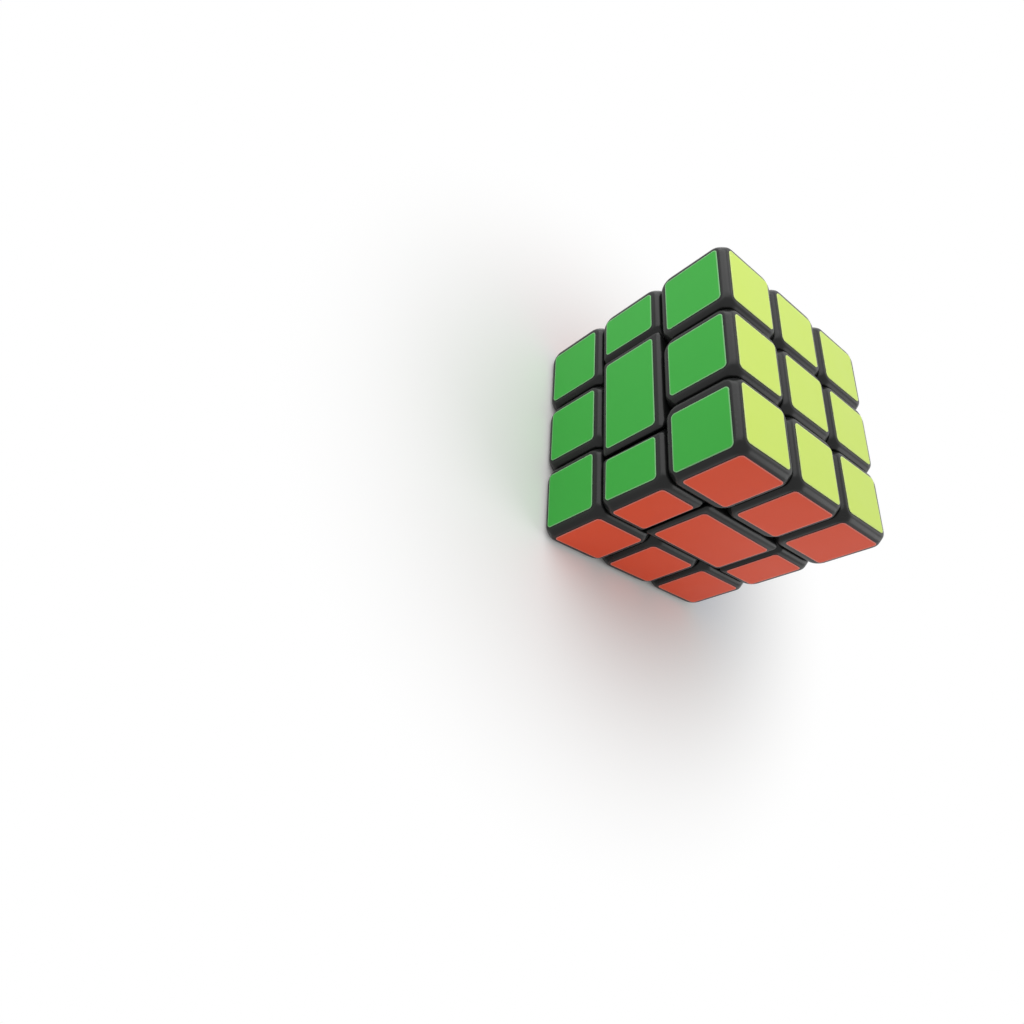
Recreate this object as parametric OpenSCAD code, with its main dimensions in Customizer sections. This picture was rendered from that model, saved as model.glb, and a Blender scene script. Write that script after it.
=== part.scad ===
// Twisty puzzle cube: three layers of three, with the middle slice set at 45 degrees.
// Origin at the middle of the cube, +Z through the yellow face, -Y through the green face.

/* [Cube] */
// Side of the cube across its plastic faces
cube_side = 57; // [54:0.5:62]
// Thickness of the middle slice and width of every middle row
slice_w = 19; // [18:0.25:20]
// Gap between two pieces that slide past each other
play = 0.3; // [0.2:0.05:0.4]
// Gap between two pieces that are pressed together
press_gap = 0.05; // [0.03:0.01:0.1]
// Rounding of the pieces' edges
edge_r = 1.5; // [1:0.1:2.4]
// How far the vertices are cut back from the point where three rounded edges meet
vertex_cut = 1.1; // [0.5:0.1:1.4]
// Rounding of the slanted edges in the middle slice
slant_r = 0.9; // [0.6:0.1:1]
// Wall of the hollow pieces
wall = 1.6; // [1.2:0.1:1.8]

/* [Ball joint] */
// Radius of the ball that the pieces' feet make up
ball_r = 22; // [21:0.25:22.5]
// Distance of the feet's sides from the middle planes
foot_cut = 5.8; // [5.4:0.1:6.2]
// Inner radius of the feet
foot_in_r = 13; // [12:0.25:14]
// Radius of the peg that holds a foot in its shell
peg_r = 2.4; // [2:0.1:2.5]
// Length of the socket that the peg is pressed into
socket_len = 2.6; // [2:0.1:2.8]
// How far the peg's snap lip stands out past its socket's bore
snap_lip = 0.35; // [0.2:0.05:0.5]
// Thickness of the peg's snap lip
snap_t = 0.8; // [0.5:0.1:1]

/* [Centres] */
// Thickness of the flat caps on the yellow and white centres
cap_t = 2.6; // [2.4:0.1:3]
// Wall of the lip that a cap snaps over
lip_t = 1.2; // [0.8:0.1:1.5]
// Radius of the pocket for the spring and the screw's head
pocket_r = 3.7; // [3.5:0.1:4]
// Floor of the pocket, which the spring presses on
pocket_floor = 2; // [1.5:0.1:2.5]

/* [Core and screws] */
// Radius of the core's ball
core_r = 8; // [7:0.25:9]
// Radius of the core's six arms
arm_r = 4.4; // [4:0.1:5]
// Distance of the arms' ends from the middle
arm_end = 12; // [11:0.25:12.5]
// Radius of the screws' shanks
screw_r = 1.5; // [1.3:0.05:1.6]
// Length of a screw inside its arm
screw_grip = 8; // [7:0.25:8]
// Gap round a screw's shank where a centre turns on it
screw_play = 0.1; // [0.05:0.05:0.2]
// Radius of the screws' heads
head_r = 2.9; // [2.5:0.1:3]
// Height of the screws' heads
head_h = 1.8; // [1.4:0.1:2]
// Width of the screws' cross recess
recess_w = 0.9; // [0.6:0.1:1]
// Depth of the screws' cross recess
recess_depth = 1; // [0.6:0.1:1.2]
// Radius of the washers
washer_r = 3.3; // [3.1:0.05:3.4]
// Thickness of the washers
washer_t = 0.5; // [0.4:0.1:0.8]
// Length of the springs as they are fitted
spring_len = 6; // [5:0.25:6.5]
// Radius of the springs, to the middle of the wire
coil_r = 2.7; // [2.5:0.05:2.8]
// Radius of the springs' wire
wire_r = 0.35; // [0.25:0.05:0.4]
// Turns in each spring
spring_turns = 5; // [4:1:6]

/* [Stickers] */
// Thickness of the stickers
sticker_t = 0.15; // [0.1:0.05:0.3]
// Bare rim of plastic round a sticker
sticker_rim = 1.95; // [1.6:0.05:2.5]
// Bare rim beside the sharp slanted edge of a wide side piece
wide_rim = 2.45; // [2.4:0.05:3.5]
// Bare rim beside the blunt slanted edge of a post
post_rim = 0.4; // [0.4:0.05:1]
// Rounding of the stickers' corners
sticker_r = 1; // [0.5:0.1:2.5]

/* [Hidden] */
$fn = 64;
half_play = play / 2;
half = cube_side / 2;
row = slice_w / 2 - half_play;
outer = slice_w / 2 + half_play;
foot_side = foot_cut - half_play;
foot_start = foot_cut + half_play;
shell_in_r = ball_r + half_play;
foot_out_r = ball_r - half_play;
stem_r = foot_side;
stem_start = arm_end + play;
pocket_start = stem_start + pocket_floor;
washer_start = pocket_start + spring_len;
head_start = washer_start + washer_t;
cap_start = half - cap_t;
lip_half = row - wall - press_gap;
socket_end = shell_in_r + socket_len;
diagonal = half * sqrt(2);
wide_tip = half - outer * sqrt(2);
post_blunt = half - row * sqrt(2);
reach = 2 * half;
coil_rings = 10;
wire_sides = 6;

SIDES = ["green", "orange", "blue", "red"];
TURNS = [0, 90, 180, 270];
LAYERS = ["yellow", "white"];
PAIRS = ["green_orange", "orange_blue", "blue_red", "red_green"];
ROWS = ["upper", "middle", "lower"];

black_plastic = "#26272a";
grey_plastic = "#8d9094";
steel = "#b9bcc0";
SIDE_COLOURS = ["#4fae55", "#d0583c", "#2b62b4", "#b4252d"];
LAYER_COLOURS = ["#e2f77c", "#f3f4f0"];

function unit(v) = v / norm(v);
function circular(list, i) = list[(i + len(list)) % len(list)];
// The two tangent points and the middle of the arc that rounds corner i of an outline
function corner_arc(points, i, r) =
    let (
        tip = points[i],
        back = unit(circular(points, i - 1) - tip),
        ahead = unit(circular(points, i + 1) - tip),
        half_angle = acos(back * ahead) / 2,
        run = r / tan(half_angle)
    )
    [tip + back * run, tip + ahead * run, tip + unit(back + ahead) * r / sin(half_angle)];

// A convex outline whose corners are rounded by their own radii, 0 for a sharp one
module rounded_outline(points, radii) {
    arcs = [for (i = [0:len(points) - 1]) corner_arc(points, i, radii[i])];
    polygon([for (i = [0:len(points) - 1]) each radii[i] > 0 ? [arcs[i][0], arcs[i][1]] : [points[i]]]);
    for (i = [0:len(points) - 1]) if (radii[i] > 0) translate(arcs[i][2]) circle(radii[i]);
}

module rounded_rectangle(low, high, r) {
    rounded_outline([low, [high[0], low[1]], high, [low[0], high[1]]], [r, r, r, r]);
}

// A bar with a rounded section in X and Y, from z0 to z1
module bar_z(low, high, z0, z1, r) {
    translate([0, 0, z0]) linear_extrude(z1 - z0) rounded_rectangle(low, high, r);
}

// A bar along Y whose section is given in X and Z
module bar_y(low, high, y0, y1, r) {
    translate([0, y1, 0]) rotate([90, 0, 0]) linear_extrude(y1 - y0) rounded_rectangle(low, high, r);
}

// A bar along X whose section is given in Y and Z
module bar_x(low, high, x0, x1, r) {
    translate([x0, 0, 0]) rotate([90, 0, 90]) linear_extrude(x1 - x0) rounded_rectangle(low, high, r);
}

// The ball that rounds the vertices of a cubic block of a given half side
module vertex_ball(middle, half_side) {
    meeting = sqrt(3) * (half_side - edge_r * (1 - sqrt(0.5)));
    translate(middle) sphere(meeting - vertex_cut);
}

// A nearly cubic block between two corners with all its edges and vertices rounded
module rounded_block(low, high) {
    intersection() {
        bar_z([low[0], low[1]], [high[0], high[1]], low[2], high[2], edge_r);
        bar_y([low[0], low[2]], [high[0], high[2]], low[1], high[1], edge_r);
        bar_x([low[1], low[2]], [high[1], high[2]], low[0], high[0], edge_r);
        vertex_ball((low + high) / 2, (high[2] - low[2]) / 2);
    }
}

module block(low, high) {
    translate(low) cube(high - low);
}

// Turns what points along +Z to point along a direction
module along(direction) {
    d = unit(direction);
    rotate([0, acos(d[2]), atan2(d[1], d[0])]) children();
}

// Mirrors what is made for the yellow layer to the white layer
module on_layer(l) {
    mirror([0, 0, l]) children();
}

// The bore of a foot's socket, open into the hollow of its shell
module socket_bore(direction) {
    along(direction) translate([0, 0, foot_out_r])
        cylinder(r = peg_r + press_gap, h = socket_end - foot_out_r + snap_t);
}

// The hollow of a shell: the space inside its walls, less the wall round the foot's socket
module hollow(direction) {
    difference() {
        children();
        sphere(shell_in_r + wall);
        along(direction) cylinder(r = peg_r + press_gap + wall, h = socket_end);
    }
}

// A foot's peg, with the lip that snaps in behind its socket
module peg(direction) {
    root = foot_in_r + wall;
    lip = socket_end + press_gap;
    along(direction) {
        translate([0, 0, root]) cylinder(r = peg_r, h = lip - root);
        translate([0, 0, lip]) cylinder(r = peg_r + snap_lip, h = snap_t);
    }
}

// A foot: the part of a box that lies between the inner and outer spheres, with its peg
module foot(low, high, direction) {
    difference() {
        intersection() {
            block(low, high);
            sphere(foot_out_r);
        }
        sphere(foot_in_r);
    }
    peg(direction);
}

// The corner between the +X and -Y faces
corner_way = [1, -1, 1];
module corner_shell() {
    difference() {
        rounded_block([outer, -half, outer], [half, -outer, half]);
        sphere(shell_in_r);
        hollow(corner_way)
            block([outer + wall, wall - half, outer + wall], [half - wall, -outer - wall, half - wall]);
        socket_bore(corner_way);
    }
}

module corner(l, i) {
    color(black_plastic) on_layer(l) rotate(TURNS[i]) corner_shell();
}

module corner_feet(l) {
    color(black_plastic) on_layer(l) for (turn = TURNS)
        rotate(turn) foot([foot_start, -ball_r, foot_start], [ball_r, -foot_start, ball_r], corner_way);
}

// The edge piece of an outer layer, on the -Y face
edge_way = [0, -1, 1];
module edge_shell() {
    difference() {
        rounded_block([-row, -half, outer], [row, -outer, half]);
        sphere(shell_in_r);
        hollow(edge_way)
            block([wall - row, wall - half, outer + wall], [row - wall, -outer - wall, half - wall]);
        socket_bore(edge_way);
    }
}

module edge(l, i) {
    color(black_plastic) on_layer(l) rotate(TURNS[i]) edge_shell();
}

module edge_feet(l) {
    color(black_plastic) on_layer(l) for (turn = TURNS)
        rotate(turn) foot([-foot_side, -ball_r, foot_start], [foot_side, -foot_start, ball_r], edge_way);
}

// The piece that turns on a core's arm: a square seat for its cap, and a stem with the spring's pocket
module axis_base() {
    difference() {
        union() {
            difference() {
                bar_z([-row, -row], [row, row], 0, cap_start, edge_r);
                sphere(shell_in_r);
            }
            translate([0, 0, stem_start]) cylinder(r = stem_r, h = cap_start - stem_start);
            difference() {
                block([-lip_half, -lip_half, shell_in_r], [lip_half, lip_half, half - wall - press_gap]);
                block([lip_t - lip_half, lip_t - lip_half, 0], [lip_half - lip_t, lip_half - lip_t, half]);
            }
        }
        translate([0, 0, pocket_start]) cylinder(r = pocket_r, h = half);
        cylinder(r = screw_r + screw_play, h = half);
    }
}

module centre(l) {
    color(black_plastic) on_layer(l) axis_base();
}

module centre_cap(l) {
    color(black_plastic) on_layer(l) difference() {
        rounded_block([-row, -row, half - 2 * row], [row, row, half]);
        block([-half, -half, -half], [half, half, cap_start]);
        block([wall - row, wall - row, 0], [row - wall, row - wall, half - wall]);
    }
}

// The wide one-coloured piece in the middle of the -Y face of the slice
wide_way = [0, -1, 0];
module wide_side_shell() {
    apex = outer * sqrt(2);
    difference() {
        intersection() {
            translate([0, 0, -row]) linear_extrude(2 * row)
                rounded_outline([[0, -apex], [-wide_tip, -half], [wide_tip, -half]], [0, slant_r, slant_r]);
            bar_x([-half, -row], [0, row], -half, half, edge_r);
            rotate(45) bar_x([-reach, -row], [-outer, row], -reach, reach, slant_r);
            rotate(-45) bar_x([-reach, -row], [-outer, row], -reach, reach, slant_r);
        }
        sphere(shell_in_r);
        hollow(wide_way) wide_side_inside();
        socket_bore(wide_way);
    }
}

module wide_side_inside() {
    apex = (outer + wall) * sqrt(2);
    face = half - wall;
    translate([0, 0, wall - row]) linear_extrude(2 * (row - wall))
        polygon([[0, -apex], [apex - face, -face], [face - apex, -face]]);
}

module wide_side(i) {
    color(black_plastic) rotate(TURNS[i]) wide_side_shell();
}

module wide_side_feet() {
    color(black_plastic) for (turn = TURNS) rotate(turn) {
        difference() {
            intersection() {
                rotate(45) block([-ball_r, -ball_r, -foot_side], [-foot_start, -foot_start, foot_side]);
                sphere(foot_out_r);
            }
            sphere(foot_in_r);
        }
        peg(wide_way);
    }
}

// The two-coloured post on the upright edge between the +X and -Y faces
post_turn = -45;
module post(i) {
    color(black_plastic) rotate(TURNS[i] + post_turn) rotate([0, 90, 0]) axis_base();
}

module post_plan(inset, start) {
    tip = diagonal - inset * sqrt(2);
    side = row - inset;
    blunt = tip - side;
    tip_r = inset > 0 ? 0 : edge_r;
    blunt_r = inset > 0 ? 0 : slant_r;
    rounded_outline(
        [[start, -side], [blunt, -side], [tip, 0], [blunt, side], [start, side]],
        [0, blunt_r, tip_r, blunt_r, 0]
    );
}

module post_cap_shell() {
    difference() {
        intersection() {
            rotate(post_turn) translate([0, 0, -row]) linear_extrude(2 * row) post_plan(0, cap_start);
            bar_x([-half, -row], [half, row], 0, half, edge_r);
            bar_y([-half, -row], [half, row], -half, 0, edge_r);
            rotate(post_turn) bar_x([-row, -row], [row, row], 0, diagonal, edge_r);
            vertex_ball([half - row, row - half, 0], row);
        }
        rotate(post_turn) translate([0, 0, wall - row]) linear_extrude(2 * (row - wall)) post_plan(wall, 0);
    }
}

module post_cap(i) {
    color(black_plastic) rotate(TURNS[i]) post_cap_shell();
}

// Places what points along +Z on each of the six axes
module on_axes() {
    for (l = [0, 1]) on_layer(l) children();
    for (turn = TURNS) rotate(turn + post_turn) rotate([0, 90, 0]) children();
}

module core() {
    color(grey_plastic) difference() {
        union() {
            sphere(core_r);
            on_axes() cylinder(r = arm_r, h = arm_end);
        }
        on_axes() translate([0, 0, arm_end - screw_grip - press_gap])
            cylinder(r = screw_r + press_gap, h = screw_grip + core_r);
    }
}

module screw() {
    tip = arm_end - screw_grip;
    head_end = head_start + head_h;
    difference() {
        union() {
            translate([0, 0, tip]) cylinder(r = screw_r, h = head_start - tip);
            translate([0, 0, head_start]) cylinder(r = head_r, h = head_h);
        }
        for (turn = [0, 90]) rotate(turn)
            block([-head_r / 2, -recess_w / 2, head_end - recess_depth], [head_r / 2, recess_w / 2, half]);
    }
}

module tension_screws() {
    color(steel) on_axes() screw();
}

module spring_washers() {
    color(steel) on_axes() translate([0, 0, washer_start]) difference() {
        cylinder(r = washer_r, h = washer_t);
        translate([0, 0, -washer_t]) cylinder(r = screw_r + screw_play, h = 3 * washer_t);
    }
}

// A helical spring of round wire, swept ring by ring as one tube
module spring() {
    rings = spring_turns * coil_rings;
    low = pocket_start + press_gap + wire_r;
    rise = spring_len - 2 * press_gap - 2 * wire_r;
    points = [
        for (i = [0:rings], k = [0:wire_sides - 1])
            let (
                turn = 360 * i / coil_rings,
                swing = 360 * k / wire_sides,
                r = coil_r + wire_r * cos(swing)
            )
            [r * cos(turn), r * sin(turn), low + rise * i / rings + wire_r * sin(swing)]
    ];
    sides = [
        for (i = [0:rings - 1], k = [0:wire_sides - 1])
            let (a = i * wire_sides + k, b = i * wire_sides + (k + 1) % wire_sides)
            each [[a, b, a + wire_sides], [b, b + wire_sides, a + wire_sides]]
    ];
    first = [for (k = [1:wire_sides - 2]) [0, k + 1, k]];
    last = [for (k = [1:wire_sides - 2]) [0, k, k + 1] + rings * wire_sides * [1, 1, 1]];
    polyhedron(points, concat(sides, first, last));
}

module tension_springs() {
    color(steel) on_axes() spring();
}

// A sticker on the -Y face, between two corners given in X and Z
module sticker(low, high) {
    bar_y(low, high, -half - sticker_t, -half, sticker_r);
}

row_low = sticker_rim - row;
row_high = row - sticker_rim;
end_low = outer + sticker_rim;
end_high = half - sticker_rim;
COLUMNS = [[-end_high, -end_low], [row_low, row_high], [end_low, end_high]];
MIDDLE_COLUMNS = [
    [-end_high, -post_blunt - post_rim],
    [wide_rim - wide_tip, wide_tip - wide_rim],
    [post_blunt + post_rim, end_high]
];
LEVELS = [[end_low, end_high], [row_low, row_high], [-end_high, -end_low]];

// The nine stickers of the yellow or the white face
module face_stickers(l) {
    color(LAYER_COLOURS[l]) on_layer(l) rotate([-90, 0, 0])
        for (x = COLUMNS, z = LEVELS) sticker([x[0], z[0]], [x[1], z[1]]);
}

// The three stickers of one row on one side of the cube
module row_stickers(r, i) {
    z = LEVELS[r];
    columns = ROWS[r] == "middle" ? MIDDLE_COLUMNS : COLUMNS;
    color(SIDE_COLOURS[i]) rotate(TURNS[i]) for (x = columns) sticker([x[0], z[0]], [x[1], z[1]]);
}

for (l = [0, 1]) {
    corner_feet(l);
    edge_feet(l);
    centre(l);
    centre_cap(l);
    face_stickers(l);
    for (i = [0:3]) {
        corner(l, i);
        edge(l, i);
    }
}
for (i = [0:3]) {
    wide_side(i);
    post(i);
    post_cap(i);
    for (r = [0:2]) {
        row_stickers(r, i);
    }
}
wide_side_feet();
core();
tension_screws();
tension_springs();
spring_washers();
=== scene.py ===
"""Looks of a twisty puzzle cube: moulded black shells, vinyl stickers and the sprung core inside them."""

from __future__ import annotations

import logging
import math
from dataclasses import dataclass, field, replace
from enum import Enum

import bmesh
import bpy
from mathutils import Matrix, Vector

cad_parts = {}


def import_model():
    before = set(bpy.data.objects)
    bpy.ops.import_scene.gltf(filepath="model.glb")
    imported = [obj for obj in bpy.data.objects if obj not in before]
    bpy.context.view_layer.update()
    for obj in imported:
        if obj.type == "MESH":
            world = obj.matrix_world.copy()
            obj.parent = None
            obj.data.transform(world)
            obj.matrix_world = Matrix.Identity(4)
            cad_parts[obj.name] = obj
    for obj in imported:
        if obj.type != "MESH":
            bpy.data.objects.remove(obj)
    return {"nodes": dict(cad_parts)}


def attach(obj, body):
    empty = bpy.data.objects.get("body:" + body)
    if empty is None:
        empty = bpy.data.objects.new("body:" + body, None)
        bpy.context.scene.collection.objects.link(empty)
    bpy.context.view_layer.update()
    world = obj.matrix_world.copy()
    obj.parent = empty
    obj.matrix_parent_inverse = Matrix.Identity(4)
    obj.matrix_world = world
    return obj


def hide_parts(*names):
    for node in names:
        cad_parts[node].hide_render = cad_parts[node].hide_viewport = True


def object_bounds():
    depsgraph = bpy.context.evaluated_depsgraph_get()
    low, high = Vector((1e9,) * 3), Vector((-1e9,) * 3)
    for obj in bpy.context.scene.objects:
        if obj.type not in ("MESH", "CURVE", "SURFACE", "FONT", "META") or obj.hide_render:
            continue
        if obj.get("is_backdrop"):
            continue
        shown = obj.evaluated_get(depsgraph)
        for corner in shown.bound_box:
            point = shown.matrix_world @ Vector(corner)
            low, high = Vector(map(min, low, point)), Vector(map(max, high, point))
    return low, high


LOG = logging.getLogger("puzzle_cube")
MM = 0.001
# Name of the mark on a sticker's outline, where a paler rim is painted as a highlight on the cut edge.
PAINTED_HIGHLIGHT_RIM = "painted_highlight_rim"
WHITE = (1.0, 1.0, 1.0, 1.0)
# The colour mix node has its two colours and its result at these numbers.
MIX_FIRST, MIX_SECOND, MIX_RESULT = 6, 7, 2
# Most values of a noise pattern lie between these two.
NOISE_LOW, NOISE_HIGH = 0.3, 0.7


def linear(hex_colour: str) -> tuple[float, float, float, float]:
    """Turns an sRGB hex colour into the linear colour that a shader takes.

    Args:
        hex_colour: Colour such as "#4fae55".

    Returns:
        Linear red, green, blue and an alpha of 1.
    """
    channels = [int(hex_colour[i : i + 2], 16) / 255 for i in (1, 3, 5)]
    red, green, blue = (c / 12.92 if c <= 0.04045 else ((c + 0.055) / 1.055) ** 2.4 for c in channels)
    return red, green, blue, 1.0


def add_node(
    tree: bpy.types.NodeTree, kind: str, settings: dict | None = None, links: dict | None = None
) -> bpy.types.Node:
    """Adds one node to a tree, with its settings and its incoming links.

    Args:
        tree: Shader or geometry node tree.
        kind: Blender's type name of the node.
        settings: Values by property name, or by the name or number of an input socket.
        links: Output sockets by the name or number of the input socket that they feed.

    Returns:
        The new node.
    """
    node = tree.nodes.new(kind)
    for key, value in (settings or {}).items():
        if isinstance(key, str) and hasattr(node, key):
            setattr(node, key, value)
        else:
            node.inputs[key].default_value = value
    for key, source in (links or {}).items():
        tree.links.new(source, node.inputs[key])
    return node


def dress(obj: bpy.types.Object, material: bpy.types.Material) -> None:
    """Gives an object one material in place of all it has."""
    obj.data.materials.clear()
    obj.data.materials.append(material)


def put(name: str, data: bpy.types.ID) -> bpy.types.Object:
    """Makes an object of a mesh, lamp or camera and puts it in the scene.

    Args:
        name: The object's name.
        data: What it shows.

    Returns:
        The new object, at the origin.
    """
    obj = bpy.data.objects.new(name, data)
    bpy.context.scene.collection.objects.link(obj)
    return obj


def to_mesh(work: bmesh.types.BMesh, name: str) -> bpy.types.Mesh:
    """Turns an edit mesh, which is used up, into a new mesh."""
    mesh = bpy.data.meshes.new(name)
    work.to_mesh(mesh)
    work.free()
    return mesh


class Body(Enum):
    """The three bodies of the cube that turn against each other."""

    YELLOW_LAYER = "yellow_layer"
    MIDDLE_SLICE = "middle_slice"
    WHITE_LAYER = "white_layer"


class Side(Enum):
    """The four upright faces: the colour of each, and its turn in degrees from the front."""

    GREEN = ("green", 0)
    ORANGE = ("orange", 90)
    BLUE = ("blue", 180)
    RED = ("red", 270)

    @property
    def colour(self) -> str:
        """The colour's name, as the nodes use it."""
        return self.value[0]

    @property
    def about(self) -> Matrix:
        """Turn about the upright axis from the front to this face."""
        return Matrix.Rotation(math.radians(self.value[1]), 4, "Z")

    @property
    def face(self) -> Matrix:
        """Turn that stands a level plane up as this face, with its outer side outwards."""
        return self.about @ Matrix.Rotation(math.radians(90), 4, "X")


class Row(Enum):
    """The three rows of an upright face, by the word in their nodes, with the body that holds each."""

    UPPER = ("upper", Body.YELLOW_LAYER)
    MIDDLE = ("middle", Body.MIDDLE_SLICE)
    LOWER = ("lower", Body.WHITE_LAYER)


@dataclass(frozen=True)
class Finish:
    """A finish that builds one node material round a Principled shader."""

    name: str
    colour: str

    def start(self) -> tuple[bpy.types.Material, bpy.types.NodeTree, bpy.types.Node]:
        """Makes an empty material with a Principled shader.

        Returns:
            The material, its node tree and the shader node.
        """
        material = bpy.data.materials.new(self.name)
        material.use_nodes = True
        tree = material.node_tree
        tree.nodes.clear()
        shader = add_node(tree, "ShaderNodeBsdfPrincipled")
        add_node(tree, "ShaderNodeOutputMaterial", links={"Surface": shader.outputs["BSDF"]})
        return material, tree, shader

    def material(self) -> bpy.types.Material:
        """The finish's material, which is made on its first use."""
        return bpy.data.materials.get(self.name) or self.make()

    def make(self) -> bpy.types.Material:
        """Builds the material."""
        raise NotImplementedError

    def noise(
        self, tree: bpy.types.NodeTree, size_mm: float, detail: float = 2.0
    ) -> bpy.types.NodeSocket:
        """Adds a noise pattern in the object's own space.

        Args:
            tree: Tree that gets the pattern.
            size_mm: Size of one blotch or grain.
            detail: Octaves of finer detail.

        Returns:
            The pattern's value socket.
        """
        place = add_node(tree, "ShaderNodeTexCoord")
        settings = {"Scale": 1 / (size_mm * MM), "Detail": detail}
        pattern = add_node(tree, "ShaderNodeTexNoise", settings, {"Vector": place.outputs["Object"]})
        return pattern.outputs["Fac"]

    def roughen(
        self,
        tree: bpy.types.NodeTree,
        shader: bpy.types.Node,
        pattern: bpy.types.NodeSocket,
        gloss: float,
        dull: float,
    ) -> None:
        """Varies the shader's roughness by a noise pattern.

        Args:
            tree: Tree that gets the node.
            shader: Principled shader that takes the roughness.
            pattern: Noise socket.
            gloss: Roughness where the noise is low.
            dull: Roughness where it is high.
        """
        settings = {"From Min": NOISE_LOW, "From Max": NOISE_HIGH, "To Min": gloss, "To Max": dull}
        spread = add_node(tree, "ShaderNodeMapRange", settings, {"Value": pattern})
        tree.links.new(spread.outputs["Result"], shader.inputs["Roughness"])

    def emboss(
        self,
        tree: bpy.types.NodeTree,
        shader: bpy.types.Node,
        height: bpy.types.NodeSocket,
        depth_mm: float,
        strength: float,
    ) -> None:
        """Raises a pattern on the surface as a bump.

        Args:
            tree: Tree that gets the node.
            shader: Principled shader that takes the bumped normal.
            height: Pattern socket.
            depth_mm: Depth from the lowest to the highest value.
            strength: Share of the bump that shows.
        """
        settings = {"Strength": strength, "Distance": depth_mm * MM}
        bump = add_node(tree, "ShaderNodeBump", settings, {"Height": height})
        tree.links.new(bump.outputs["Normal"], shader.inputs["Normal"])


@dataclass(frozen=True)
class MouldedAbs(Finish):
    """Injection-moulded ABS: a satin skin with fine mould grain and faint handling smudges."""

    gloss: float = 0.24
    dull: float = 0.34
    shine: float = 0.24
    grain_mm: float = 0.28
    grain_depth_mm: float = 0.006
    grain_strength: float = 0.35
    smudge_mm: float = 9.0
    ior: float = 1.53

    def make(self) -> bpy.types.Material:
        """Builds the material."""
        material, tree, shader = self.start()
        shader.inputs["Base Color"].default_value = linear(self.colour)
        shader.inputs["IOR"].default_value = self.ior
        shader.inputs["Specular IOR Level"].default_value = self.shine
        smudge = self.noise(tree, self.smudge_mm, detail=4.0)
        self.roughen(tree, shader, smudge, self.gloss, self.dull)
        # Mould grain is finer than this, and is drawn coarser so that it shows in a close view.
        grain = self.noise(tree, self.grain_mm)
        self.emboss(tree, shader, grain, self.grain_depth_mm, self.grain_strength)
        return material


@dataclass(frozen=True)
class VinylSticker(Finish):
    """Die-cut PVC film: an even colour, a smooth semi-gloss face and a painted highlight, a paler rim along
    the cut border.
    """

    gloss: float = 0.31
    dull: float = 0.36
    smudge_mm: float = 7.0
    peel_mm: float = 3.0
    peel_depth_mm: float = 0.004
    peel_strength: float = 0.25
    shine: float = 0.18
    ior: float = 1.5
    # How far the painted highlight along the cut border goes towards white.
    border_white: float = 0.22

    def make(self) -> bpy.types.Material:
        """Builds the material."""
        material, tree, shader = self.start()
        shader.inputs["IOR"].default_value = self.ior
        shader.inputs["Specular IOR Level"].default_value = self.shine
        # The cut border is painted paler, a painted highlight where the edge catches light.
        plain = linear(self.colour)
        border = Vector(plain).lerp(Vector(WHITE), self.border_white)
        highlight_rim = add_node(tree, "ShaderNodeAttribute", {"attribute_name": PAINTED_HIGHLIGHT_RIM})
        tint = add_node(
            tree,
            "ShaderNodeMix",
            {"data_type": "RGBA", MIX_FIRST: plain, MIX_SECOND: border},
            {0: highlight_rim.outputs["Fac"]},
        )
        tree.links.new(tint.outputs[MIX_RESULT], shader.inputs["Base Color"])
        smudge = self.noise(tree, self.smudge_mm, detail=1.0)
        self.roughen(tree, shader, smudge, self.gloss, self.dull)
        peel = self.noise(tree, self.peel_mm, detail=0.0)
        self.emboss(tree, shader, peel, self.peel_depth_mm, self.peel_strength)
        return material


@dataclass(frozen=True)
class PlatedSteel(Finish):
    """Zinc-plated or drawn steel: bright metal with a fine uneven polish."""

    gloss: float = 0.22
    dull: float = 0.36
    polish_mm: float = 0.9

    def make(self) -> bpy.types.Material:
        """Builds the material."""
        material, tree, shader = self.start()
        shader.inputs["Base Color"].default_value = linear(self.colour)
        shader.inputs["Metallic"].default_value = 1.0
        self.roughen(tree, shader, self.noise(tree, self.polish_mm, detail=4.0), self.gloss, self.dull)
        return material


BLACK_ABS = MouldedAbs("moulded_abs_black", "#171818")
FOOT_ABS = MouldedAbs("moulded_abs_feet", "#232427", gloss=0.42, dull=0.55)
CORE_NYLON = MouldedAbs("moulded_nylon_grey", "#8d9094", gloss=0.45, dull=0.6, grain_mm=0.4)
ZINC_STEEL = PlatedSteel("zinc_plated_steel", "#b9bcc0")
SPRING_WIRE = PlatedSteel("drawn_spring_wire", "#a9acb0", gloss=0.18, dull=0.3)
VINYL = {
    "green": VinylSticker("pvc_film_green", "#3aaa3f"),
    "orange": VinylSticker("pvc_film_orange", "#f6542b"),
    "blue": VinylSticker("pvc_film_blue", "#1f56ad"),
    "red": VinylSticker("pvc_film_red", "#ab1c24"),
    "yellow": VinylSticker("pvc_film_yellow", "#ddf76c"),
    "white": VinylSticker("pvc_film_white", "#e4e5e1"),
}


@dataclass
class CadPieces:
    """CAD nodes that keep their solids and get a finish."""

    finish: Finish
    starts: tuple[str, ...]
    skips: tuple[str, ...] = ()

    def build(self, nodes: dict[str, bpy.types.Object]) -> None:
        """Dresses every node whose name starts with one of the given words and none of those to skip.

        Args:
            nodes: The frame's node objects by name.
        """
        material = self.finish.material()
        chosen = [n for n in nodes if n.startswith(self.starts) and not n.startswith(self.skips)]
        for name in chosen:
            dress(nodes[name], material)
        LOG.info("%s on %d CAD nodes", material.name, len(chosen))


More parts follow.
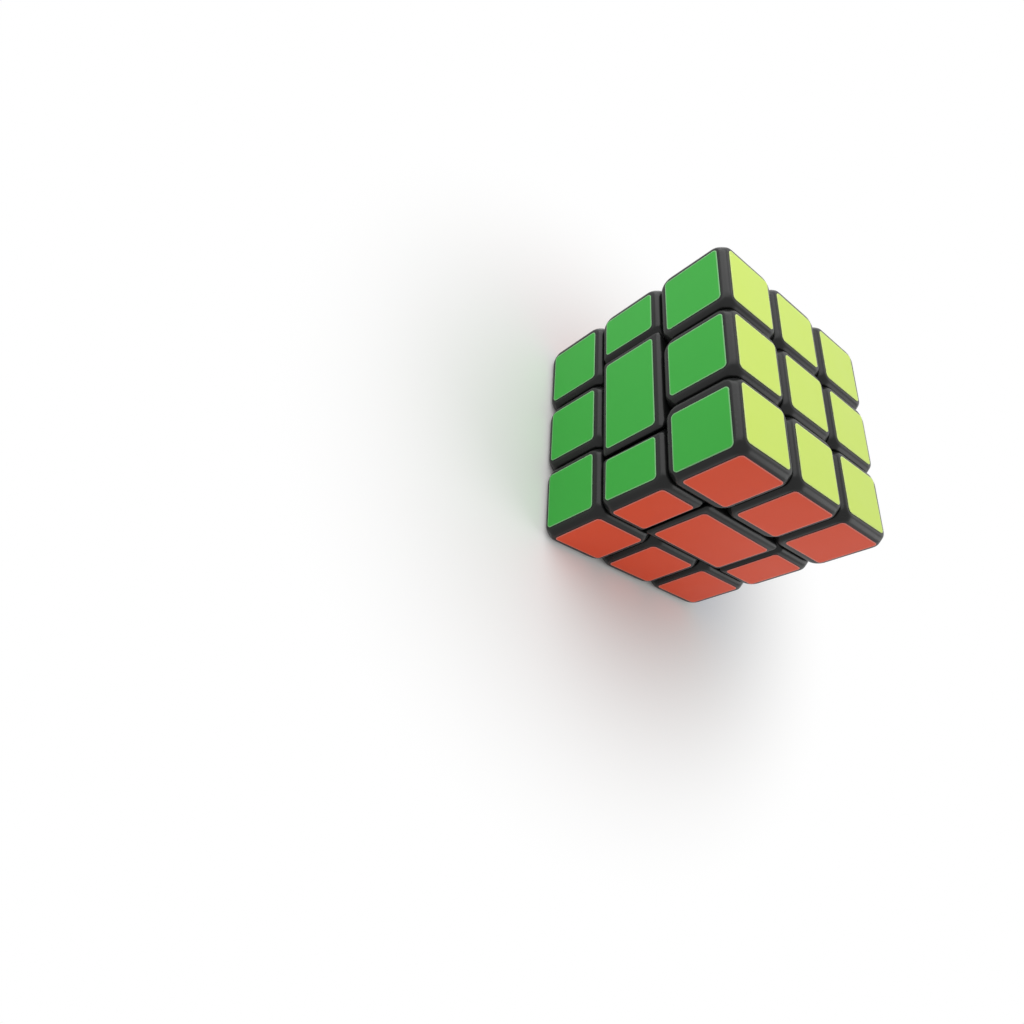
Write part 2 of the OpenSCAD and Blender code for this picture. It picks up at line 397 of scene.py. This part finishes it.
@dataclass(frozen=True)
class CubeSize:
    """Sizes that the shells and the stickers share, in millimetres."""

    side: float = 57.0
    slice_width: float = 19.0
    play: float = 0.3
    edge: float = 1.5
    vertex_cut: float = 1.1
    vertex_blend: float = 0.5
    cap_thickness: float = 2.6
    ball_radius: float = 22.0

    @property
    def half(self) -> float:
        """Half of the cube's side."""
        return self.side / 2

    @property
    def row(self) -> float:
        """Half of the middle slice's thickness, less its play."""
        return (self.slice_width - self.play) / 2

    @property
    def outer(self) -> float:
        """Where the outer layers start."""
        return (self.slice_width + self.play) / 2

    @property
    def cap_start(self) -> float:
        """Where the caps start."""
        return self.half - self.cap_thickness

    @property
    def ball_hollow(self) -> float:
        """Radius of the hollow for the ball joint."""
        return self.ball_radius + self.play / 2

    def softened(self, arm: Vector, half_side: float) -> Vector:
        """Draws a place inwards if it is near a vertex of a cubic block, with no crease.

        Args:
            arm: Place on the block's rounded surface from the block's middle, in millimetres.
            half_side: Half of the block's side, in millimetres.

        Returns:
            The place on the softer vertex from the block's middle.
        """
        meeting = math.sqrt(3) * (half_side - self.edge * (1 - math.sqrt(0.5)))
        limit = meeting - self.vertex_cut
        share = min(max(0.5 + 0.5 * (limit - arm.length) / self.vertex_blend, 0.0), 1.0)
        reach = limit + (arm.length - limit) * share - self.vertex_blend * share * (1 - share)
        return arm * (reach / arm.length)


@dataclass
class Holder:
    """A passing object that carries a mesh through modifiers."""

    name: str
    mesh: bpy.types.Mesh
    carrier: bpy.types.Object = field(init=False)

    def __post_init__(self) -> None:
        """Links the object, so that its modifiers can be evaluated."""
        self.carrier = put(f"{self.name}_holder", self.mesh)

    def add(self, kind: str) -> bpy.types.Modifier:
        """Adds a modifier of a kind and returns it."""
        return self.carrier.modifiers.new(kind.lower(), kind)

    def result(self) -> bpy.types.Mesh:
        """Evaluates the modifiers, removes the object and returns the new mesh."""
        ready = self.carrier.evaluated_get(bpy.context.evaluated_depsgraph_get())
        made = bpy.data.meshes.new_from_object(ready)
        self.drop()
        return made

    def drop(self) -> None:
        """Removes the object and the mesh that it carried."""
        bpy.data.objects.remove(self.carrier)
        bpy.data.meshes.remove(self.mesh)


@dataclass(frozen=True)
class Piece:
    """A finished mesh that takes the place of a CAD node."""

    word: str
    node: str
    body: Body
    material: bpy.types.Material
    slot: str
    sharp_deg: float

    def seat(self, mesh: bpy.types.Mesh) -> None:
        """Shades the mesh and puts it on its body in place of the node.

        Args:
            mesh: Mesh at its place in the frame.
        """
        mesh.shade_smooth()
        mesh.set_sharp_from_angle(angle=math.radians(self.sharp_deg))
        piece = put(f"{self.word}_{self.node}", mesh)
        dress(piece, self.material)
        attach(piece, self.body.value)
        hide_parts(self.node)
        LOG.info("%s on %s", piece.name, self.body.value)


@dataclass(frozen=True)
class Prism:
    """An upright prism whose edges are rounded, in millimetres.

    upright holds how far each corner of the plan is rounded back, and level how far the edges along
    each side of the plan are, at the bottom and at the top; 0 leaves an edge sharp.
    """

    plan: tuple[tuple[float, float], ...]
    low: float
    high: float
    upright: tuple[float, ...]
    level_low: tuple[float, ...]
    level_high: tuple[float, ...]

    def make(self, steps: int) -> bpy.types.Mesh:
        """Builds the rounded prism.

        Args:
            steps: Flat steps across each rounded edge.

        Returns:
            A closed mesh in metres.
        """
        work = bmesh.new()
        share = work.edges.layers.float.new("bevel_weight_edge")
        width = max(self.upright + self.level_low + self.level_high)
        heights = (self.low, self.high)
        rings = [[work.verts.new(Vector((x, y, z)) * MM) for x, y in self.plan] for z in heights]
        work.faces.new(reversed(rings[0]))
        work.faces.new(rings[1])
        for i, (foot, head) in enumerate(zip(*rings)):
            after = (i + 1) % len(self.plan)
            work.faces.new((foot, rings[0][after], rings[1][after], head))
            work.edges.get((foot, head))[share] = self.upright[i] / width
            work.edges.get((foot, rings[0][after]))[share] = self.level_low[i] / width
            work.edges.get((head, rings[1][after]))[share] = self.level_high[i] / width
        holder = Holder("prism", to_mesh(work, "prism"))
        rounding = holder.add("BEVEL")
        rounding.limit_method = "WEIGHT"
        rounding.width = width * MM
        rounding.segments = steps
        return holder.result()


@dataclass
class ShellSet:
    """The moulded shells and caps that make up the cube's outside."""

    size: CubeSize
    slant_edge: float = 0.9
    blunt_edge: float = 0.5
    acute_edge: float = 2.2
    steps: int = 8
    ball_steps: int = 96
    sharp_deg: float = 40.0
    # How far from a block's sides the loops lie that let its vertices give way.
    vertex_loops: tuple[float, ...] = (1.7, 2.0, 2.4, 2.9, 3.5)
    black: bpy.types.Material | None = field(default=None, init=False)

    def soften_vertices(
        self, mesh: bpy.types.Mesh, middle: Vector, half_side: float, turn: Matrix = Matrix.Identity(3)
    ) -> None:
        """Rounds the vertices of a cubic block further than its edges, with no crease.

        Args:
            mesh: Rounded block, which gets loops near its vertices, so that only these give way.
            middle: Middle of the cubic block, in millimetres.
            half_side: Half of its side, in millimetres.
            turn: Turn of the block's sides from the axes.
        """
        work = bmesh.new()
        work.from_mesh(mesh)
        for line in turn.transposed():
            for back in self.vertex_loops:
                for way in (half_side - back, back - half_side):
                    parts = [*work.verts, *work.edges, *work.faces]
                    place = (middle + line * way) * MM
                    bmesh.ops.bisect_plane(work, geom=parts, plane_co=place, plane_no=line)
        work.to_mesh(mesh)
        work.free()
        for vertex in mesh.vertices:
            vertex.co = (middle + self.size.softened(vertex.co / MM - middle, half_side)) * MM

    def cut_ball(self, mesh: bpy.types.Mesh) -> bpy.types.Mesh:
        """Cuts the hollow for the ball joint out of a shell.

        Args:
            mesh: Shell, which is used up.

        Returns:
            The shell with its hollow.
        """
        work = bmesh.new()
        bmesh.ops.create_uvsphere(
            work,
            u_segments=self.ball_steps,
            v_segments=self.ball_steps // 2,
            radius=self.size.ball_hollow * MM,
        )
        ball = Holder("ball", to_mesh(work, "ball"))
        holder = Holder("shell", mesh)
        cut = holder.add("BOOLEAN")
        cut.operation = "DIFFERENCE"
        cut.solver = "EXACT"
        cut.object = ball.carrier
        made = holder.result()
        ball.drop()
        return made

    def block(
        self,
        low: tuple[float, float, float],
        high: tuple[float, float, float],
        cut: bool,
        flat_bottom: bool = False,
    ) -> bpy.types.Mesh:
        """Builds a block with rounded edges and softer vertices.

        Args:
            low: Its lowest corner, in millimetres.
            high: Its highest corner.
            cut: True if the ball's hollow is cut out of it.
            flat_bottom: True for a cap, whose lower edges stay sharp.

        Returns:
            The mesh.
        """
        plan = ((low[0], low[1]), (high[0], low[1]), (high[0], high[1]), (low[0], high[1]))
        all_round, sharp = (self.size.edge,) * 4, (0.0,) * 4
        prism = Prism(plan, low[2], high[2], all_round, sharp if flat_bottom else all_round, all_round)
        mesh = prism.make(self.steps)
        half_side = (high[0] - low[0]) / 2
        middle = Vector(((low[0] + high[0]) / 2, (low[1] + high[1]) / 2, high[2] - half_side))
        self.soften_vertices(mesh, middle, half_side)
        return self.cut_ball(mesh) if cut else mesh

    def wide_side(self) -> bpy.types.Mesh:
        """Builds the wide piece in the middle of the front face, a three-cornered prism."""
        half, row, deep = self.size.half, self.size.row, self.size.outer * math.sqrt(2)
        plan = ((deep - half, -half), (half - deep, -half), (0.0, -deep))
        upright = (self.acute_edge, self.acute_edge, 0.0)
        level = (self.size.edge, self.slant_edge, self.slant_edge)
        return self.cut_ball(Prism(plan, -row, row, upright, level, level).make(self.steps))

    def post_cap(self) -> bpy.types.Mesh:
        """Builds the two-faced cap on the upright edge that lies along +X, a five-cornered prism."""
        row, tip, start = self.size.row, self.size.half * math.sqrt(2), self.size.cap_start
        blunt = tip - row
        plan = ((start, -row), (blunt, -row), (tip, 0.0), (blunt, row), (start, row))
        upright = (0.0, self.blunt_edge, self.size.edge, self.blunt_edge, 0.0)
        level = (self.size.edge, self.size.edge, self.size.edge, self.size.edge, 0.0)
        mesh = Prism(plan, -row, row, upright, level, level).make(self.steps)
        askew = Matrix.Rotation(math.radians(45), 3, "Z")
        self.soften_vertices(mesh, Vector((tip - row * math.sqrt(2), 0, 0)), row, askew)
        return mesh

    def place(self, node: str, body: Body, shape: bpy.types.Mesh, turn: Matrix) -> None:
        """Puts a copy of a shell where its CAD node is.

        Args:
            node: CAD node that the shell replaces.
            body: Body that it rides on.
            shape: Mesh of the shell in its first place.
            turn: Turn from there to the node's place.
        """
        mesh = shape.copy()
        mesh.transform(turn)
        Piece("shell", node, body, self.black, "black_plastic", self.sharp_deg).seat(mesh)

    def build(self) -> None:
        """Makes the 26 shells of the cube."""
        self.black = BLACK_ABS.material()
        half, row, outer = self.size.half, self.size.row, self.size.outer
        corner = self.block((outer, -half, outer), (half, -outer, half), cut=True)
        edge = self.block((-row, -half, outer), (row, -outer, half), cut=True)
        cap = self.block((-row, -row, self.size.cap_start), (row, row, half), cut=False, flat_bottom=True)
        wide, post = self.wide_side(), self.post_cap()
        # Each white piece is its yellow fellow turned over about the level line that both point along.
        over = {"corner": Vector((1, -1, 0)), "edge": Vector((0, 1, 0)), "centre": Vector((1, 0, 0))}
        sides = list(Side)
        for body, colour in ((Body.YELLOW_LAYER, "yellow"), (Body.WHITE_LAYER, "white")):
            flip = math.pi if body is Body.WHITE_LAYER else 0.0
            flips = {word: Matrix.Rotation(flip, 4, axis) for word, axis in over.items()}
            self.place(f"centre_cap_{colour}", body, cap, flips["centre"])
            for i, side in enumerate(sides):
                pair = f"{side.colour}_{sides[(i + 1) % 4].colour}"
                self.place(f"corner_{colour}_{pair}", body, corner, side.about @ flips["corner"])
                self.place(f"edge_{colour}_{side.colour}", body, edge, side.about @ flips["edge"])
        for i, side in enumerate(sides):
            pair = f"{side.colour}_{sides[(i + 1) % 4].colour}"
            askew = side.about @ Matrix.Rotation(math.radians(-45), 4, "Z")
            self.place(f"wide_side_{side.colour}", Body.MIDDLE_SLICE, wide, side.about)
            self.place(f"post_cap_{pair}", Body.MIDDLE_SLICE, post, askew)
        for mesh in (corner, edge, cap, wide, post):
            bpy.data.meshes.remove(mesh)


@dataclass(frozen=True)
class Span:
    """A sticker's reach along one line of its face, and the ends of the plastic under it, in millimetres."""

    middle: float
    width: float
    start: float
    end: float

    def moved(self, by: float) -> Span:
        """The span of a sticker that was laid off its middle, over the same plastic."""
        return replace(self, middle=self.middle + by)

    def past_flat(self, value: float, edge: float) -> float:
        """How far a place lies out on the plastic's rounded edge, 0 on the flat."""
        return max(0.0, self.start + edge - value, value - self.end + edge)

    def block_middle(self, value: float, half_side: float) -> float:
        """Middle of the cubic block that ends where the plastic does on a place's side."""
        return self.end - half_side if value > self.middle else self.start + half_side


@dataclass(frozen=True)
class Plate:
    """One sticker on a face: its spans across the face and up it."""

    across: Span
    up: Span

    @property
    def size(self) -> tuple[float, float]:
        """Width and height to a hundredth, which stickers of one cut share."""
        return round(self.across.width, 2), round(self.up.width, 2)

    def sink(self, across: float, up: float, size: CubeSize) -> Vector:
        """Finds how the plastic's edges and vertices have curved away under a place on the sticker.

        Args:
            across: The place across the face, in millimetres.
            up: The place up the face.
            size: Sizes of the plastic.

        Returns:
            The move from the level face to the curved one, in millimetres.
        """
        gone = self.across.past_flat(across, size.edge) ** 2 + self.up.past_flat(up, size.edge) ** 2
        drop = Vector((0, 0, math.sqrt(max(size.edge**2 - gone, 0.0)) - size.edge))
        half_side = (self.up.end - self.up.start) / 2
        middle = [line.block_middle(at, half_side) for line, at in ((self.across, across), (self.up, up))]
        arm = Vector((across, up, size.half)) + drop - Vector((*middle, size.half - half_side))
        return drop + size.softened(arm, half_side) - arm


@dataclass
class StickerSet:
    """The cut stickers, one mesh for each colour on each turning body."""

    size: CubeSize
    rim: float = 1.95
    wide_rim: float = 2.45
    post_rim: float = 0.4
    thickness: float = 0.15
    corner_radius: float = 1.0
    soft_edge: float = 0.04
    border: float = 0.3
    inner_ring: float = 0.2
    broad: float = 6.0
    off_laid: float = 0.9
    # Rows that were laid by hand a little above or below their middle.
    raised: dict[tuple[Row, Side], float] = field(
        default_factory=lambda: {
            (Row.UPPER, Side.ORANGE): 0.5,
            (Row.MIDDLE, Side.ORANGE): -0.25,
            (Row.MIDDLE, Side.GREEN): -0.25,
            (Row.LOWER, Side.GREEN): -0.2,
        }
    )
    slip: float = 0.15
    twist_deg: float = 0.6
    arc_steps: int = 8
    soft_steps: int = 2
    soft_from_deg: float = 60.0
    sharp_deg: float = 35.0
    weld: float = 0.001
    first_seed: int = 11
    tree: bpy.types.NodeTree | None = field(default=None, init=False)
    vinyl: dict[str, bpy.types.Material] = field(default_factory=dict, init=False)
    made: int = field(default=0, init=False)

    @property
    def thirds(self) -> list[Span]:
        """The three equal rows of an outer layer."""
        half, outer, row = self.size.half, self.size.outer, self.size.row
        middle, width = (outer + half) / 2, half - outer - 2 * self.rim
        first = Span(-middle, width, -half, -outer)
        return [first, Span(0.0, 2 * (row - self.rim), -row, row), Span(middle, width, outer, half)]

    @property
    def slice_columns(self) -> list[Span]:
        """The short, long and short stickers of the middle slice."""
        half, sharp = self.size.half, self.size.half - self.size.outer * math.sqrt(2)
        start, end = half - self.size.row * math.sqrt(2) + self.post_rim, half - self.rim
        middle, width = (start + end) / 2, end - start
        # The plastic under a short sticker stays flat on its inner side.
        first, last = Span(-middle, width, -half, 0.0), Span(middle, width, 0.0, half)
        return [first, Span(0.0, 2 * (sharp - self.wide_rim), -sharp, sharp), last]

    def make_tree(self) -> bpy.types.NodeTree:
        """Builds the Geometry Nodes tree that lays equal stickers on points of a plane.

        Returns:
            The tree. Its named inputs are the sticker's sizes, how far it may slip and twist, the seed
            and the material.
        """
        tree = bpy.data.node_groups.new("sticker_plates", "GeometryNodeTree")
        face = tree.interface
        face.new_socket("Points", in_out="INPUT", socket_type="NodeSocketGeometry")
        for name in ("Width", "Height", "Corner Radius", "Thickness", "Slip", "Twist"):
            face.new_socket(name, in_out="INPUT", socket_type="NodeSocketFloat")
        face.new_socket("Seed", in_out="INPUT", socket_type="NodeSocketInt")
        face.new_socket("Material", in_out="INPUT", socket_type="NodeSocketMaterial")
        face.new_socket("Stickers", in_out="OUTPUT", socket_type="NodeSocketGeometry")
        given = add_node(tree, "NodeGroupInput").outputs
        outline = add_node(
            tree,
            "GeometryNodeCurvePrimitiveQuadrilateral",
            links={"Width": given["Width"], "Height": given["Height"]},
        )
        rounded = add_node(
            tree,
            "GeometryNodeFilletCurve",
            {"mode": "POLY", "Count": self.arc_steps},
            {"Curve": outline.outputs[0], "Radius": given["Corner Radius"]},
        )
        film = add_node(tree, "GeometryNodeFillCurve", {"mode": "NGONS"}, {"Curve": rounded.outputs[0]})
        raised = add_node(
            tree,
            "GeometryNodeExtrudeMesh",
            {"mode": "FACES"},
            {"Mesh": film.outputs[0], "Offset Scale": given["Thickness"]},
        )
        back = add_node(tree, "GeometryNodeFlipFaces", links={"Mesh": film.outputs[0]})
        both = add_node(tree, "GeometryNodeJoinGeometry", links={0: raised.outputs[0]})
        tree.links.new(back.outputs[0], both.inputs[0])
        weld = {"Distance": self.weld * MM}
        plate = add_node(tree, "GeometryNodeMergeByDistance", weld, {"Geometry": both.outputs[0]})
        most = add_node(tree, "ShaderNodeCombineXYZ", links={"X": given["Slip"], "Y": given["Slip"]})
        least = add_node(
            tree, "ShaderNodeVectorMath", {"operation": "SCALE", "Scale": -1.0}, {0: most.outputs[0]}
        )
        slip = add_node(
            tree,
            "FunctionNodeRandomValue",
            {"data_type": "FLOAT_VECTOR"},
            {0: least.outputs[0], 1: most.outputs[0], "Seed": given["Seed"]},
        )
        places = add_node(
            tree,
            "GeometryNodeSetPosition",
            links={"Geometry": given["Points"], "Offset": slip.outputs[0]},
        )
        other_way = add_node(
            tree, "ShaderNodeMath", {"operation": "MULTIPLY", 1: -1.0}, {0: given["Twist"]}
        )
        twist = add_node(
            tree,
            "FunctionNodeRandomValue",
            {"data_type": "FLOAT"},
            {2: other_way.outputs[0], 3: given["Twist"], "Seed": given["Seed"]},
        )
        turn = add_node(tree, "ShaderNodeCombineXYZ", links={"Z": twist.outputs[1]})
        laid = add_node(
            tree,
            "GeometryNodeInstanceOnPoints",
            links={"Points": places.outputs[0], "Instance": plate.outputs[0], "Rotation": turn.outputs[0]},
        )
        real = add_node(tree, "GeometryNodeRealizeInstances", links={"Geometry": laid.outputs[0]})
        coloured = add_node(
            tree,
            "GeometryNodeSetMaterial",
            links={"Geometry": real.outputs[0], "Material": given["Material"]},
        )
        add_node(tree, "NodeGroupOutput", links={0: coloured.outputs[0]})
        return tree

    def lay(self, plates: list[Plate], seed: int, material: bpy.types.Material) -> bpy.types.Mesh:
        """Cuts and lays equal stickers on a level plane at the height of the plastic face.

        Args:
            plates: Stickers of one size.
            seed: Seed of their slips and twists.
            material: Their finish.

        Returns:
            A mesh of closed plates whose outer faces look along +Z.
        """
        points = bpy.data.meshes.new("sticker_points")
        places = [Vector((p.across.middle, p.up.middle, self.size.half)) * MM for p in plates]
        points.from_pydata(places, [], [])
        holder = Holder("sticker", points)
        nodes = holder.add("NODES")
        nodes.node_group = self.tree
        values = {
            "Width": plates[0].across.width * MM,
            "Height": plates[0].up.width * MM,
            "Corner Radius": self.corner_radius * MM,
            "Thickness": self.thickness * MM,
            "Slip": self.slip * MM,
            "Twist": math.radians(self.twist_deg),
            "Seed": seed,
            "Material": material,
        }
        for item in self.tree.interface.items_tree:
            if item.in_out == "INPUT" and item.name in values:
                nodes[item.identifier] = values[item.name]
        soft = holder.add("BEVEL")
        soft.width = self.soft_edge * MM
        soft.segments = self.soft_steps
        soft.limit_method = "ANGLE"
        soft.angle_limit = math.radians(self.soft_from_deg)
        return holder.result()

    def bend(self, work: bmesh.types.BMesh, plates: list[Plate]) -> None:
        """Presses the stickers' borders down on the rounded edges of the plastic, and marks the cut border
        that gets the painted highlight.

        Args:
            work: Level stickers, whose broad faces get two rings along their border.
            plates: Where the stickers sit.
        """
        highlight_rim = work.verts.layers.float.new(PAINTED_HIGHLIGHT_RIM)
        outline = set(work.verts)
        broad = [face for face in work.faces if face.calc_area() > (self.broad * MM) ** 2]
        # The second ring lies on the flat, so that the middle of the sticker is shaded flat.
        for width in (self.border, self.inner_ring):
            bmesh.ops.inset_individual(work, faces=broad, thickness=width * MM, use_even_offset=True)
        for vertex in work.verts:
            # Outline vertices get the mask of the painted highlight.
            vertex[highlight_rim] = float(vertex in outline)
            x, y = vertex.co.x / MM, vertex.co.y / MM
            plate = min(plates, key=lambda p: math.hypot(x - p.across.middle, y - p.up.middle))
            vertex.co += plate.sink(x, y, self.size) * MM

    def stick(self, node: str, body: Body, plates: list[Plate], face: Matrix, colour: str) -> None:
        """Makes the stickers that stand for one CAD node and puts them on their face.

        Args:
            node: CAD node that the stickers replace.
            body: Body that they ride on.
            plates: Where they sit on the face and how large each is.
            face: Turn from the level plane to the face.
            colour: Name of their colour.
        """
        vinyl = self.vinyl[colour]
        work = bmesh.new()
        for size in sorted({p.size for p in plates}):
            mesh = self.lay([p for p in plates if p.size == size], self.first_seed + self.made, vinyl)
            work.from_mesh(mesh)
            bpy.data.meshes.remove(mesh)
            self.made += 1
        bmesh.ops.recalc_face_normals(work, faces=work.faces)
        self.bend(work, plates)
        work.transform(face)
        film = Piece("film", node, body, vinyl, f"vinyl_{colour}", self.sharp_deg)
        film.seat(to_mesh(work, f"film_{node}"))

    def build(self) -> None:
        """Makes all the stickers of the cube."""
        self.tree = self.make_tree()
        self.vinyl = {colour: finish.material() for colour, finish in VINYL.items()}
        grid = [Plate(across, up) for across in self.thirds for up in self.thirds]
        level = Matrix.Identity(4)
        over = Matrix.Rotation(math.radians(180), 4, "X")
        self.stick("stickers_yellow", Body.YELLOW_LAYER, grid, level, "yellow")
        self.stick("stickers_white", Body.WHITE_LAYER, grid, over, "white")
        lower, middle, upper = self.thirds
        heights = {Row.UPPER: upper, Row.MIDDLE: middle, Row.LOWER: lower}
        for row, up in heights.items():
            word, body = row.value
            columns = self.slice_columns if row is Row.MIDDLE else self.thirds
            for side in Side:
                laid = up.moved(self.raised.get((row, side), 0.0))
                plates = [Plate(across, laid) for across in columns]
                if row is Row.UPPER and side is Side.GREEN:
                    # One corner sticker was laid by hand nearer to the orange face.
                    plates[2] = Plate(plates[2].across.moved(self.off_laid), laid)
                self.stick(f"stickers_{word}_{side.colour}", body, plates, side.face, side.colour)


@dataclass(frozen=True)
class Softbox:
    """A square soft lamp that looks at the cube: its place and side in metres, and its power."""

    name: str
    place: tuple[float, float, float]
    side: float
    watts: float

    def hang(self) -> None:
        """Hangs the lamp."""
        data = bpy.data.lights.new(self.name, "AREA")
        data.size = self.side
        data.energy = self.watts
        lamp = put(self.name, data)
        lamp.location = self.place
        lamp.rotation_euler = Vector(self.place).to_track_quat("Z", "Y").to_euler()


@dataclass
class Studio:
    """Pale floor, white surroundings, soft lamps and the camera at the photograph's place."""

    camera_mm: tuple[float, float, float] = (115.45, -140.75, 99.08)
    camera_turn_deg: tuple[float, float, float] = (25.854, -40.545, 94.708)
    lens_mm: float = 27.587
    sensor_mm: float = 36.0
    clip_start: float = 0.01
    floor_radius: float = 8.0
    floor_steps: int = 96
    fade_start: float = 0.03
    fade_end: float = 0.11
    floor_colour: str = "#f4f3f1"
    ambient: float = 0.36
    lamps: tuple[Softbox, ...] = (
        Softbox("key_softbox", (-0.16, -0.165, 0.16), 0.40, 0.82),
        Softbox("back_softbox", (0.24, 0.44, 0.30), 0.40, 0.85),
    )

    def place_camera(self) -> None:
        """Puts the camera where the photograph was taken from."""
        data = bpy.data.cameras.new("camera")
        data.sensor_width = self.sensor_mm
        data.lens = self.lens_mm
        data.clip_start = self.clip_start
        camera = put("camera", data)
        camera.location = Vector(self.camera_mm) * MM
        camera.rotation_euler = [math.radians(a) for a in self.camera_turn_deg]
        bpy.context.scene.camera = camera

    def seen(self, tree: bpy.types.NodeTree) -> bpy.types.NodeSocket:
        """Adds the nodes that tell what is looked at, straight or in a reflection, from what only lights.

        Args:
            tree: Tree that gets the nodes.

        Returns:
            A value socket: 1 for a camera, glossy or transmission ray, else 0.
        """
        rays = add_node(tree, "ShaderNodeLightPath").outputs
        value = rays["Is Camera Ray"]
        for name in ("Is Glossy Ray", "Is Transmission Ray"):
            either = add_node(tree, "ShaderNodeMath", {"operation": "MAXIMUM"}, {0: value, 1: rays[name]})
            value = either.outputs[0]
        return value

    def floor_material(self) -> bpy.types.Material:
        """A pale matt floor that keeps shadows near the cube and fades to plain white far from it."""
        material = bpy.data.materials.new("pale_floor")
        material.use_nodes = True
        tree = material.node_tree
        tree.nodes.clear()
        matt = add_node(tree, "ShaderNodeBsdfDiffuse", {"Color": linear(self.floor_colour)})
        white = add_node(tree, "ShaderNodeEmission", {"Color": WHITE, "Strength": 1.0})
        place = add_node(tree, "ShaderNodeTexCoord")
        away = add_node(
            tree, "ShaderNodeVectorMath", {"operation": "LENGTH"}, {0: place.outputs["Object"]}
        )
        fade = add_node(
            tree,
            "ShaderNodeMapRange",
            {"interpolation_type": "SMOOTHSTEP", "From Min": self.fade_start, "From Max": self.fade_end},
            {"Value": away.outputs["Value"]},
        )
        shown = add_node(
            tree,
            "ShaderNodeMath",
            {"operation": "MULTIPLY"},
            {0: fade.outputs["Result"], 1: self.seen(tree)},
        )
        mix = add_node(
            tree,
            "ShaderNodeMixShader",
            links={0: shown.outputs[0], 1: matt.outputs[0], 2: white.outputs[0]},
        )
        add_node(tree, "ShaderNodeOutputMaterial", links={"Surface": mix.outputs[0]})
        return material

    def lay_floor(self, low: float) -> None:
        """Lays a round floor under the cube.

        Args:
            low: Height of the cube's lowest point, in metres.
        """
        work = bmesh.new()
        bmesh.ops.create_circle(work, cap_ends=True, segments=self.floor_steps, radius=self.floor_radius)
        mesh = to_mesh(work, "floor")
        mesh.transform(Matrix.Translation((0, 0, low)))
        floor = put("floor", mesh)
        dress(floor, self.floor_material())
        floor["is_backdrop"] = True

    def surround(self) -> None:
        """White surroundings for the eye and in reflections, at a lower level as light."""
        world = bpy.data.worlds.new("white_room")
        world.use_nodes = True
        tree = world.node_tree
        tree.nodes.clear()
        level = add_node(
            tree, "ShaderNodeMapRange", {"To Min": self.ambient, "To Max": 1.0}, {"Value": self.seen(tree)}
        )
        links = {"Strength": level.outputs["Result"]}
        glow = add_node(tree, "ShaderNodeBackground", {"Color": WHITE}, links)
        add_node(tree, "ShaderNodeOutputWorld", links={"Surface": glow.outputs[0]})
        bpy.context.scene.world = world

    def build(self, low: float) -> None:
        """Sets up floor, light and camera.

        Args:
            low: Height of the cube's lowest point, in metres.
        """
        self.place_camera()
        self.lay_floor(low)
        self.surround()
        for lamp in self.lamps:
            lamp.hang()
        bpy.context.scene.view_settings.view_transform = "Standard"


def main() -> None:
    """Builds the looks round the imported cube."""
    logging.basicConfig(level=logging.INFO, format="%(name)s: %(message)s")
    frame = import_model()
    cad_box = [list(corner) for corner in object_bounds()]
    nodes = frame["nodes"]
    CadPieces(BLACK_ABS, ("centre_", "post_"), skips=("centre_cap", "post_cap")).build(nodes)
    CadPieces(FOOT_ABS, ("corner_feet", "edge_feet", "wide_side_feet")).build(nodes)
    CadPieces(CORE_NYLON, ("core",)).build(nodes)
    CadPieces(ZINC_STEEL, ("tension_screws", "spring_washers")).build(nodes)
    CadPieces(SPRING_WIRE, ("tension_springs",)).build(nodes)
    size = CubeSize()
    ShellSet(size).build()
    StickerSet(size).build()
    Studio().build(cad_box[0][2])


if __name__ == "__main__":
    main()
